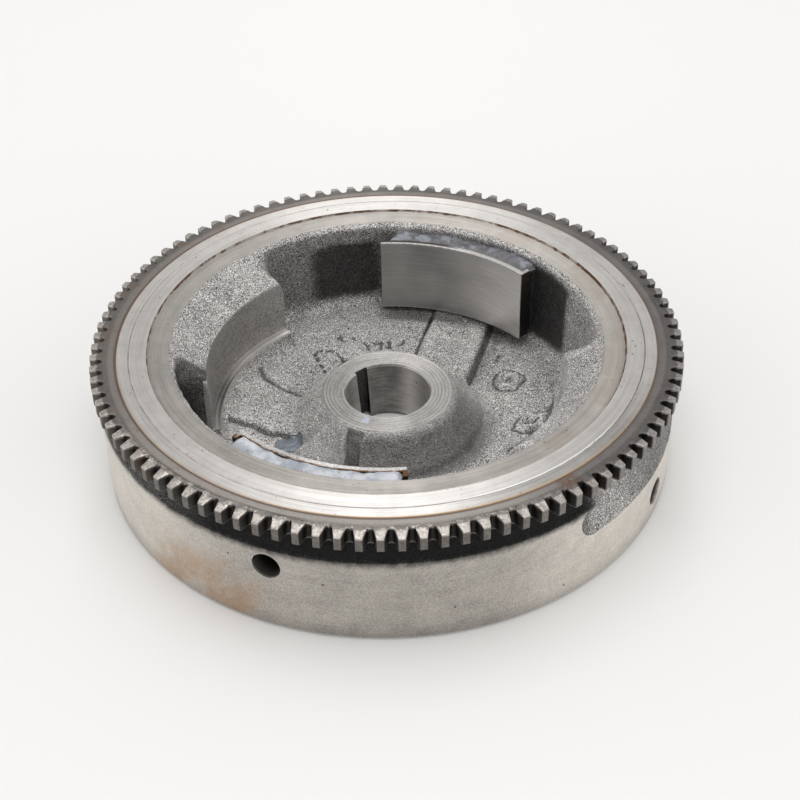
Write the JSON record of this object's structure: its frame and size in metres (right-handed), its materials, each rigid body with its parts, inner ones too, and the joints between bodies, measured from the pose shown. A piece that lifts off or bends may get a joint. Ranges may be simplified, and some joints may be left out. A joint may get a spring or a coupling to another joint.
{
  "type": "engine flywheel",
  "caption": "Cast engine flywheel with a shrunk-on starter ring gear, charging magnets inside the rim, an ignition magnet in the rim and a keyed taper bore.",
  "frame": {"origin": "on the crankshaft axis, in the plane of the machined rim face on the fan side, which the part rests on", "axes": "+Z along the crankshaft axis, towards the engine and ring gear side; the ignition magnet is at 171 degrees from +X towards +Y"},
  "size_m": [0.202, 0.202, 0.045],
  "materials": {
    "casting": "as-cast grey iron with satin turned faces",
    "gear_steel": "machined, lightly tarnished",
    "shoe_steel": "turned satin",
    "ferrite": "matt ceramic magnet",
    "resin": "cured potting resin",
    "screw_steel": "plain steel"
  },
  "bodies": {
    "root": {"flywheel_casting": "casting", "ring_gear": "gear_steel", "pole_shoe_a": "shoe_steel", "pole_shoe_b": "shoe_steel", "charging_magnet_a": "ferrite", "charging_magnet_b": "ferrite", "magnet_resin_a": "resin", "magnet_resin_b": "resin", "ignition_magnet": "ferrite", "ignition_pole_leading": "shoe_steel", "ignition_pole_trailing": "shoe_steel", "ignition_potting": "resin", "magnet_screws": "screw_steel"}
  },
  "joints": []
}
